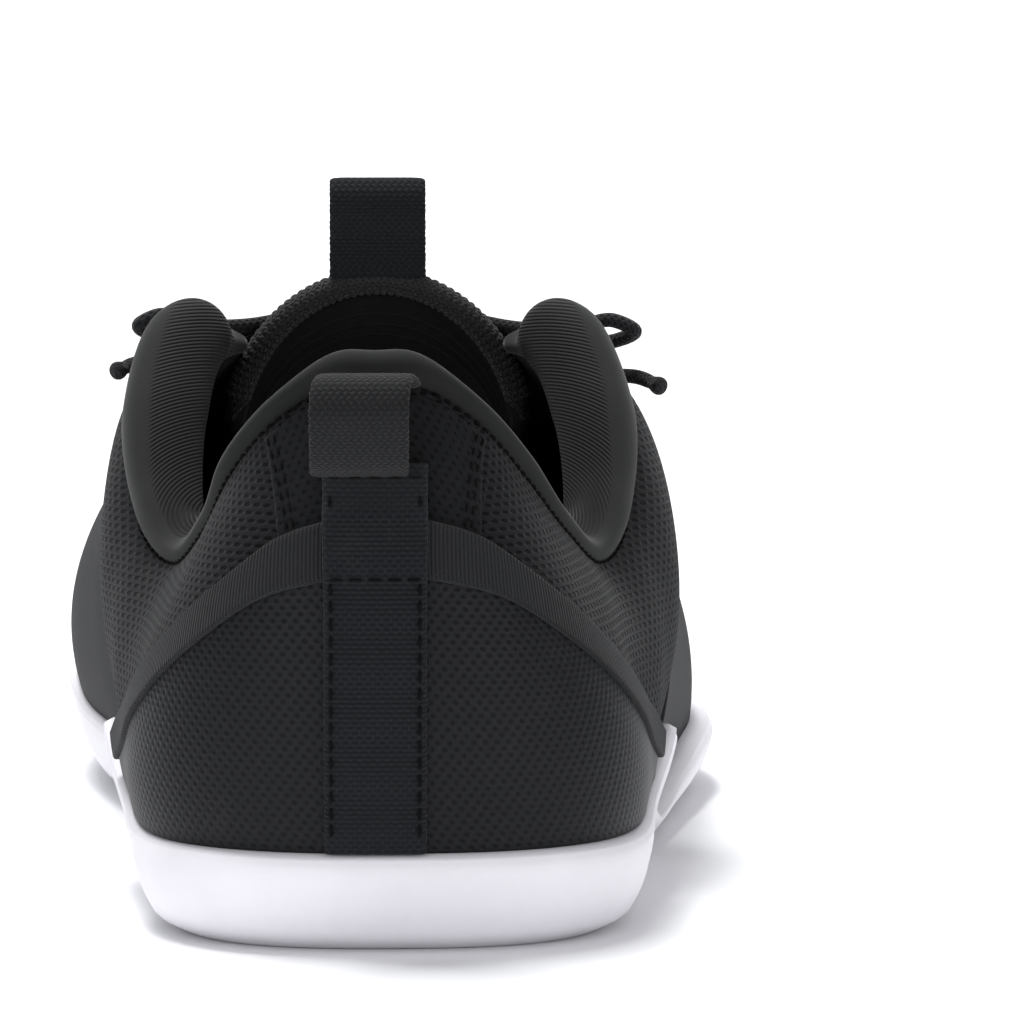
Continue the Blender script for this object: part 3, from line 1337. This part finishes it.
def build_heel_loop(look):
    """Folded pull loop standing off the heel."""
    base = heel_point(0.0, STRIP_TOP * COLLAR_HEIGHT + GAP * 2 - LOOP_SETTLE, LAY_GAP + GAP + WEBBING)
    path = []
    for back, up, shift in HEEL_LOOP:
        step = np.array([HEEL_LOOP_SHIFT * shift, -back * HEEL_LOOP_HEIGHT, up * HEEL_LOOP_HEIGHT])
        path.append(base + step)
    path = smooth_path(path, 90)
    return ribbon_skin("heel_loop", path, (1.0, 0.0, 0.0), LOOP_WIDTH, LOOP_FABRIC, look, "heel_pull_loop")


def build_tongue_loop(look):
    """Folded pull loop over the tongue's free edge."""
    end = TONGUE_FORM[0][0]
    centre, _, top, _ = tongue_arch(end)
    base = np.array([centre, (end - 0.5) * LENGTH, top])
    path = [base + np.array([0.0, ahead, up]) * TONGUE_LOOP_HEIGHT for ahead, up in TONGUE_LOOP]
    path = smooth_path(path, 110)
    facing = (1.0, 0.0, 0.0)
    return ribbon_skin("tongue_loop", path, facing, TONGUE_LOOP_WIDTH, LOOP_FABRIC, look, "tongue_pull_loop")


def strap_edges(at):
    """Bottom and top height of the heel strap."""
    bottom = ring_value(STRAP, STRAP_COLUMNS, "bottom", "bottom", at) * COLLAR_HEIGHT
    top = ring_value(STRAP, STRAP_COLUMNS, "top", "top", at) * COLLAR_HEIGHT
    return bottom, top


def build_heel_panels(looks):
    """Counter, strap and heel tab."""
    at = STRAP_STEP * np.arange(-12, 13)
    bottom, top = strap_edges(at)
    high = t_at_height(at, bottom + 0.001)
    laid(
        "counter_skin", at, above_rim(at) - 0.01, at, high, OVERLAY + LAY_GAP, looks["counter"],
        "heel_counter", rows=30, cols=110,
    )
    at = np.linspace(-STRAP_END, STRAP_END, 31)
    bottom, top = strap_edges(at)
    dip = STRAP_DIP * np.clip((np.abs(at) - STRAP_END + STRAP_FADE) / STRAP_FADE, 0.0, 1.0)
    low = t_at_height(at, bottom - dip)
    high = t_at_height(at, top - dip)
    laid(
        "strap_skin", at, low, at, high, WEBBING, looks["strap"], "heel_strap",
        rows=14, cols=220, under=LAY_GAP + 0.0003, soft=0.0005, turned=True,
    )
    at = np.linspace(-TAB_REACH, TAB_REACH, 15)
    foot = at * (TAB_FOOT / TAB_REACH)
    low = t_at_height(foot, strap_edges(foot)[1] - 0.0015)
    laid("heel_tab", foot, low, at, wall_end(at), OVERLAY, looks["tab"], rows=20, cols=60, soft=0.0007)


def build_heel_strip(look):
    """Upright webbing strip with folded selvedges."""
    low = float(rim_height(0.0)) + 0.0008
    high = STRIP_TOP * COLLAR_HEIGHT + 0.0012
    across = np.concatenate([[-1.0, -0.99, -0.96], np.linspace(-0.9, 0.9, 13), [0.96, 0.99, 1.0]])
    away = (1.0 - np.abs(across)) * STRIP_WIDTH / 2
    rise = np.sqrt(1.0 - (1.0 - np.clip(away / 0.0006, 0.0, 1.0)) ** 2)
    height = np.linspace(low, high, 90)
    bottom, top = strap_edges(0.0)
    on_strap = np.clip(np.minimum(height - bottom + 0.0012, top + 0.0012 - height) / 0.0016, 0.0, 1.0)
    under = OVERLAY + LAY_GAP + (WEBBING - OVERLAY + GAP) * on_strap + 0.0002
    lift = under[:, None] + WEBBING * rise - 0.0007 * (1.0 - rise)
    points = heel_point(np.broadcast_to(across * STRIP_WIDTH / 2, lift.shape), height[:, None], lift)
    u, v = metric(points)
    return put(grid_piece("strip_skin", points, v, u), look, "heel_strip")


def build_front_panels(looks):
    """Eyestay, toe cap, side panels and the tapes over the quarters' forward seams."""
    at = np.linspace(EYESTAY_START, 2.0 - EYESTAY_START, 61)
    laid(
        "eyestay_skin", at, t_from_edge(at, EYESTAY_WIDTH), at, t_from_edge(at, 0.0008), OVERLAY,
        looks["coated"], "eyestay", rows=16, cols=260, under=LAY_GAP,
    )
    at = np.linspace(TOE_CAP_START, 2.0 - TOE_CAP_START, 41)
    ends = np.sin(math.pi * np.linspace(0.08, 0.92, 41)) ** 0.6
    foot = outline(at) - plan_normal(at) * FEATHER_INSET
    high = t_at_height(at, rim_height(at) + spring(foot[:, 1]) + SEAM_GAP + TOE_CAP_HEIGHT * ends)
    laid(
        "toe_cap_skin", at, above_rim(at) - 0.02, at, high, OVERLAY, looks["coated"],
        "toe_cap", rows=14, cols=120, under=LAY_GAP,
    )
    for name, low_start, low_end, high_start, high_end in PANELS:
        foot = np.linspace(low_start, low_end, 12)
        head = np.linspace(high_start, high_end, 12)
        high = t_from_edge(head, EYESTAY_WIDTH - 0.001)
        laid(
            name + "_skin", foot, above_rim(foot) - 0.02, head, high, OVERLAY, looks["coated"],
            name, rows=60, cols=60, under=LAY_GAP * 0.6,
        )
    t = np.linspace(0.12, 0.985, 40)
    place = quarter_end(t) + 0.006
    wide = SEAM_TAPE / (LENGTH * 1.2)
    for name, side in (("seam_tape_inner", -1.0), ("seam_tape_outer", 1.0)):
        foot = side * (place - wide)
        head = side * (place + wide)
        laid(name, foot, t, head, t, 0.0009, looks["tape"], rows=8, cols=120, soft=0.0008)


def build_stitches(thread):
    """Thread along the heel tab, the binding, the strip, the eyestay and the panels."""
    rows = []
    for side in (-1.0, 1.0):
        for inset in (0.0016, 0.0034):
            foot = side * TAB_FOOT
            low = float(t_at_height(foot, strap_edges(foot)[1])[0]) + 0.01
            high = float(wall_end(np.array([side * TAB_REACH]))[0]) - 0.01
            t = np.linspace(low, high, 30)
            at = side * (np.linspace(TAB_FOOT, TAB_REACH, 30) - inset / HALF_GIRTH)
            rows.append((on_wall(at, t, 0.0008), wall_normal(at, t)))
    at = np.linspace(-0.43, 0.43, 420)
    t = t_from_edge(at, pad_size(at, "half_height") + GAP)
    rows.append((on_wall(at, t, 0.0002), wall_normal(at, t)))
    stitches("binding_stitches", rows, thread, pitch=0.0019, size=0.0012, thick=0.00022)
    rows = []
    for height in (STRIP_TOP * COLLAR_HEIGHT - 0.0008, strap_edges(0.0)[0] - 0.0004):
        x = np.linspace(-STRIP_WIDTH / 2 + 0.0006, STRIP_WIDTH / 2 - 0.0006, 12)
        lift = LAY_GAP + WEBBING * 2 + GAP + 0.0002
        points = heel_point(x, height, lift)
        rows.append((points, (0.0, -1.0, 0.0)))
    for side in (-1.0, 1.0):
        z = np.linspace(float(rim_height(0.0)) + 0.003, STRIP_TOP * COLLAR_HEIGHT - 0.003, 30)
        lift = LAY_GAP + OVERLAY + WEBBING + GAP
        points = heel_point(side * (STRIP_WIDTH / 2 - 0.0011), z, lift)
        rows.append((points, (0.0, -1.0, 0.0)))
    stitches("strip_stitches", rows, thread, pitch=0.0024, size=0.0017, thick=0.00026)
    rows = []
    at = np.linspace(EYESTAY_START + 0.012, 2.0 - EYESTAY_START - 0.012, 500)
    for inset in (0.0025, EYESTAY_WIDTH - 0.0014):
        t = t_from_edge(at, inset)
        rows.append((on_wall(at, t, OVERLAY + LAY_GAP), wall_normal(at, t)))
    for _, low_start, low_end, high_start, high_end in PANELS:
        sign = 1.0 if low_start > 0 else -1.0
        for start, end, shift in ((low_start, high_start, 0.006), (low_end, high_end, -0.006)):
            share = np.linspace(0.04, 0.93, 80)
            at = start + (end - start) * share + sign * shift
            top = float(t_from_edge(end, EYESTAY_WIDTH)[0])
            foot = float(above_rim(np.array([start]))[0])
            t = foot + (top - foot) * share
            rows.append((on_wall(at, t, OVERLAY), wall_normal(at, t)))
    stitches("panel_stitches", rows, thread, pitch=0.0026, size=0.0018, thick=0.00028)


def build_tape_loops(look):
    """Tape loops on both sides of the throat."""
    for side, sign in (("inner", -1.0), ("outer", 1.0)):
        for number, at in enumerate(TAPE_LOOPS, start=1):
            middle, forward, across, out = tape_middle(sign * at)
            sections = []
            for angle in np.linspace(-math.pi / 2, math.pi * 1.5, 41)[:-1]:
                shift = 0.5 * TAPE_SPAN * math.tanh(math.cos(angle) * 6.0)
                centre = middle + across * (math.cos(angle) * TAPE_RADIUS + shift)
                centre = centre + out * math.sin(angle) * TAPE_RADIUS
                face = unit(across * math.cos(angle) + out * math.sin(angle))
                section = []
                for w, f in TAPE_SECTION:
                    section.append(centre + forward * w * TAPE_WIDTH / 2 + face * f * TAPE / 2)
                sections.append(section)
            points = np.array(sections)
            u, v = metric(points, closed_u=True, closed_v=True)
            piece = grid_piece("tape_%s_%d" % (side, number), points, u, v, closed_u=True, closed_v=True)
            put(piece, look, "tape_loop_%s_%d" % (side, number))


def free_cord(name, route, radii, look, node):
    """Free stretch of the lace, given to the frame as a cord."""
    piece = put(tube(name, route, radii, sides=16), look, node)


def build_laces(look):
    """Crossed lace, knot, bow loops and cut ends."""
    first = lace_run(-1.0, KNOT_WIDTH / 2 + LACE * 0.2)
    second = lace_run(1.0, KNOT_WIDTH / 2 + LACE * 0.2)
    start = first[0] + np.array([LACE * 0.17, LACE * 0.17, 0.0])
    bend = (first[0] + second[0]) / 2 + np.array([0.0, LACE * 1.52, LACE * 0.26])
    halves = []
    for points in (first, [start, bend] + second):
        halves.append(tube("half", smooth_path(points, 260), LACE / 2, sides=16))
    put(join_pieces("crossed_lace", halves), look, "lacing")
    middle = placed(*KNOT)
    wraps = []
    for shift, lean, size in KNOT_TURNS:
        turn = np.linspace(0.0, math.tau * 0.97, 40)
        y = np.cos(turn) * (KNOT_DEPTH / 2 - LACE * 0.42) * size
        z = np.sin(turn) * (KNOT_HEIGHT / 2 - LACE * 0.36) * size
        x = shift + np.sin(turn) * lean * 0.002 + turn * 0.0001
        wraps.append(tube("wrap", middle + np.stack([x, y, z], axis=1), LACE / 2, sides=14))
    x = np.linspace(-KNOT_WIDTH / 2 + LACE * 0.3, KNOT_WIDTH / 2 - LACE * 0.3, 24)
    core = middle + np.stack([x, 0.0006 * np.sin(x * 900), 0.0004 * np.cos(x * 700)], axis=1)
    wraps.append(tube("core", core, LACE * 0.62, sides=14))
    put(join_pieces("bow_knot", wraps), look, "lace_knot")
    for side, sign in (("inner", -1.0), ("outer", 1.0)):
        bow = smooth_path(free_route(BOW_ROUTE, sign, BOW_REACH[side], BOW_DROP[side]), 170)
        free_cord("bow_" + side, bow, LACE / 2, look, "bow_loop_" + side)
        end = smooth_path(free_route(END_ROUTE, sign, END_REACH[side], END_DROP[side]), 120)
        radii = np.full(len(end), LACE / 2)
        radii[-len(CUT_END):] *= np.array(CUT_END)
        free_cord("end_" + side, end, radii, look, "lace_end_" + side)


def build_stage():
    """Pale floor with a swept backdrop, soft lights, a pale sky and the camera."""
    profile = smooth_path([(0.0, y, z) for y, z in BACKDROP], 60)
    points = np.array([[(x, y, max(z, 0.0) - 0.0001) for x in BACKDROP_SIDES] for _, y, z in profile])
    u, v = metric(points)
    floor = grid_piece("studio_floor", points, u, v)
    look, tree, shader = new_look("studio_paper", 0.9, specular=0.05)
    cloud = spread(tree, grain(tree, 3.0, 2.0, 0.5), 0.2, 0.8)
    colour = tint(tree, cloud, FLOOR_COLOUR, shade(FLOOR_COLOUR, 0.985))
    tree.links.new(colour, shader.inputs["Base Color"])
    bpy.context.scene.collection.objects.link(floor)
    floor.data.materials.append(look)
    for name, place, aim, size, power, colour in LIGHTS:
        lamp = bpy.data.lights.new(name, "AREA")
        lamp.shape = "RECTANGLE"
        lamp.size, lamp.size_y = size
        lamp.energy = power
        lamp.color = colour
        item = bpy.data.objects.new(name, lamp)
        item.location = place
        item.rotation_euler = (Vector(aim) - Vector(place)).to_track_quat("-Z", "Y").to_euler()
        bpy.context.scene.collection.objects.link(item)
    world = bpy.data.worlds.new("studio_sky")
    world.use_nodes = True
    sky = world.node_tree.nodes["Background"]
    sky.inputs["Color"].default_value = (*SKY_COLOUR, 1.0)
    sky.inputs["Strength"].default_value = SKY_POWER
    bpy.context.scene.world = world
    bpy.context.scene.view_settings.view_transform = "Standard"
    view = bpy.data.cameras.new("photo_view")
    view.lens = CAMERA_LENS
    view.sensor_width = CAMERA_SENSOR
    view.clip_start, view.clip_end = CAMERA_CLIP
    camera = bpy.data.objects.new("photo_view", view)
    camera.location = CAMERA_PLACE
    camera.rotation_euler = tuple(math.radians(x) for x in CAMERA_TURN)
    bpy.context.scene.collection.objects.link(camera)
    bpy.context.scene.camera = camera


class ShoeSettings(bpy.types.PropertyGroup):
    """Sizes of the fabric's patterns."""

    mesh_pitch: bpy.props.FloatProperty(
        name="Mesh pitch",
        description="Distance between the slots of the spacer mesh",
        default=0.0025,
        min=0.001,
        max=0.004,
        unit="LENGTH",
    )
    rib_pitch: bpy.props.FloatProperty(
        name="Rib pitch",
        description="Distance between the ribs of the padded collar",
        default=0.00052,
        min=0.0004,
        max=0.002,
        unit="LENGTH",
    )
    dot_pitch: bpy.props.FloatProperty(
        name="Dot pitch",
        description="Distance between the dots of the heel counter",
        default=0.0017,
        min=0.001,
        max=0.004,
        unit="LENGTH",
    )


class SHOE_OT_sole(bpy.types.Operator):
    """Build the sole and the insole."""

    bl_idname = "shoe.sole"
    bl_label = "Sole and insole"

    def execute(self, context):
        build_sole(rubber_look())
        build_insole(plain_look("insole_cloth", INSOLE_CLOTH, roughness=0.9, scale=2200.0, depth=0.0002))
        return {"FINISHED"}


class SHOE_OT_upper(bpy.types.Operator):
    """Build the hollow upper with its mesh quarters and lining."""

    bl_idname = "shoe.upper"
    bl_label = "Upper"

    def execute(self, context):
        pitch = context.scene.shoe.mesh_pitch
        quarter = spacer_look(pitch)
        vamp = spacer_look(pitch * 0.62, "vamp_mesh", half=(0.00050, 0.00020), depth=0.00016)
        lining = plain_look("lining_cloth", LINING, roughness=0.9, scale=2600.0, depth=0.00015)
        build_upper([quarter, vamp, lining])
        return {"FINISHED"}


class SHOE_OT_collar(bpy.types.Operator):
    """Build the padded collar roll and the tongue."""

    bl_idname = "shoe.collar"
    bl_label = "Collar and tongue"

    def execute(self, context):
        build_collar(ribbed_look("collar_ribs", BINDING, context.scene.shoe.rib_pitch))
        pitch = context.scene.shoe.mesh_pitch * 0.7
        cloth = spacer_look(pitch, "tongue_mesh", half=(0.00056, 0.00022), depth=0.00016)
        knit = webbing_look("tongue_knit", KNIT, 0.0006, 0.0011, depth=0.0003, share=0.4, sheen=0.12)
        lining = plain_look("tongue_lining", TONGUE_LINING, roughness=0.9, scale=2600.0, depth=0.00012)
        build_tongue(cloth, knit, lining)
        return {"FINISHED"}


class SHOE_OT_webbing(bpy.types.Operator):
    """Build the heel's counter, strap, tab and strip, and both pull loops."""

    bl_idname = "shoe.webbing"
    bl_label = "Heel panels and webbing"

    def execute(self, context):
        pitch = context.scene.shoe.dot_pitch
        looks = {
            "counter": dotted_look(
                "counter_panel", COUNTER, DOT, pitch=(pitch, pitch * 0.56), half=(0.00036, 0.00032),
                roughness=0.50, depth=0.00009, sheen=0.02, coat=0.015,
            ),
            "strap": webbing_look(
                "strap_webbing", STRAP_COLOUR, 0.00060, 0.0011, depth=0.00016, slope=0.15, share=0.85,
            ),
            "tab": dotted_look(
                "heel_tab_cloth", TAB, DOT, pitch=(0.0017, 0.00105), half=(0.00030, 0.00028),
                roughness=0.85, depth=0.00010, sheen=0.05,
            ),
        }
        build_heel_panels(looks)
        build_heel_strip(webbing_look("strip_webbing", STRIP, 0.00068, 0.00125, depth=0.00022, share=0.45))
        look = webbing_look("loop_webbing", LOOP_COLOUR, 0.00050, 0.00100, depth=0.00016, share=0.25)
        build_heel_loop(look)
        look = webbing_look("tongue_loop_webbing", STRIP, 0.00060, 0.00110, depth=0.00018, share=0.30)
        build_tongue_loop(look)
        return {"FINISHED"}


class SHOE_OT_panels(bpy.types.Operator):
    """Build the forefoot's panels and every row of stitches."""

    bl_idname = "shoe.panels"
    bl_label = "Panels and stitches"

    def execute(self, context):
        looks = {
            "coated": plain_look(
                "coated_panel", COATED, roughness=0.66, scale=1300.0, depth=0.00006, sheen=0.0,
            ),
            "tape": plain_look("seam_tape_cloth", SEAM_CLOTH, roughness=0.62, scale=2400.0, depth=0.0001),
        }
        build_front_panels(looks)
        thread = plain_look(
            "thread", THREAD, roughness=0.9, scale=5000.0, depth=0.00005, sheen=0.0, specular=0.05,
        )
        build_stitches(thread)
        return {"FINISHED"}


class SHOE_OT_laces(bpy.types.Operator):
    """Build the tape loops, the crossed lace and the bow."""

    bl_idname = "shoe.laces"
    bl_label = "Laces"

    def execute(self, context):
        build_tape_loops(webbing_look("tape_webbing", STRIP, 0.0005, 0.0009, depth=0.00015))
        build_laces(braid_look("lace_braid", BRAID))
        return {"FINISHED"}


class SHOE_OT_stage(bpy.types.Operator):
    """Build the floor, the lights and the camera."""

    bl_idname = "shoe.stage"
    bl_label = "Stage"

    def execute(self, context):
        build_stage()
        return {"FINISHED"}


class SHOE_PT_main(bpy.types.Panel):
    """Buttons and sizes in the sidebar."""

    bl_idname = "SHOE_PT_main"
    bl_label = "Barefoot shoe"
    bl_space_type = "VIEW_3D"
    bl_region_type = "UI"
    bl_category = "Shoe"

    def draw(self, context):
        settings = context.scene.shoe
        for name in ("mesh_pitch", "rib_pitch", "dot_pitch"):
            self.layout.prop(settings, name)
        for operator in OPERATORS:
            self.layout.operator(operator.bl_idname)


OPERATORS = (
    SHOE_OT_sole,
    SHOE_OT_upper,
    SHOE_OT_collar,
    SHOE_OT_webbing,
    SHOE_OT_panels,
    SHOE_OT_laces,
    SHOE_OT_stage,
)


def register():
    """Make the settings, the operators and the panel known."""
    bpy.utils.register_class(ShoeSettings)
    for operator in OPERATORS:
        bpy.utils.register_class(operator)
    bpy.utils.register_class(SHOE_PT_main)
    bpy.types.Scene.shoe = bpy.props.PointerProperty(type=ShoeSettings)


def unregister():
    """Take them away again."""
    del bpy.types.Scene.shoe
    bpy.utils.unregister_class(SHOE_PT_main)
    for operator in reversed(OPERATORS):
        bpy.utils.unregister_class(operator)
    bpy.utils.unregister_class(ShoeSettings)


def main():
    """Register the add-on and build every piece."""
    register()
    bpy.ops.shoe.sole()
    bpy.ops.shoe.upper()
    bpy.ops.shoe.collar()
    bpy.ops.shoe.webbing()
    bpy.ops.shoe.panels()
    bpy.ops.shoe.laces()
    bpy.ops.shoe.stage()


if __name__ == "__main__":
    main()
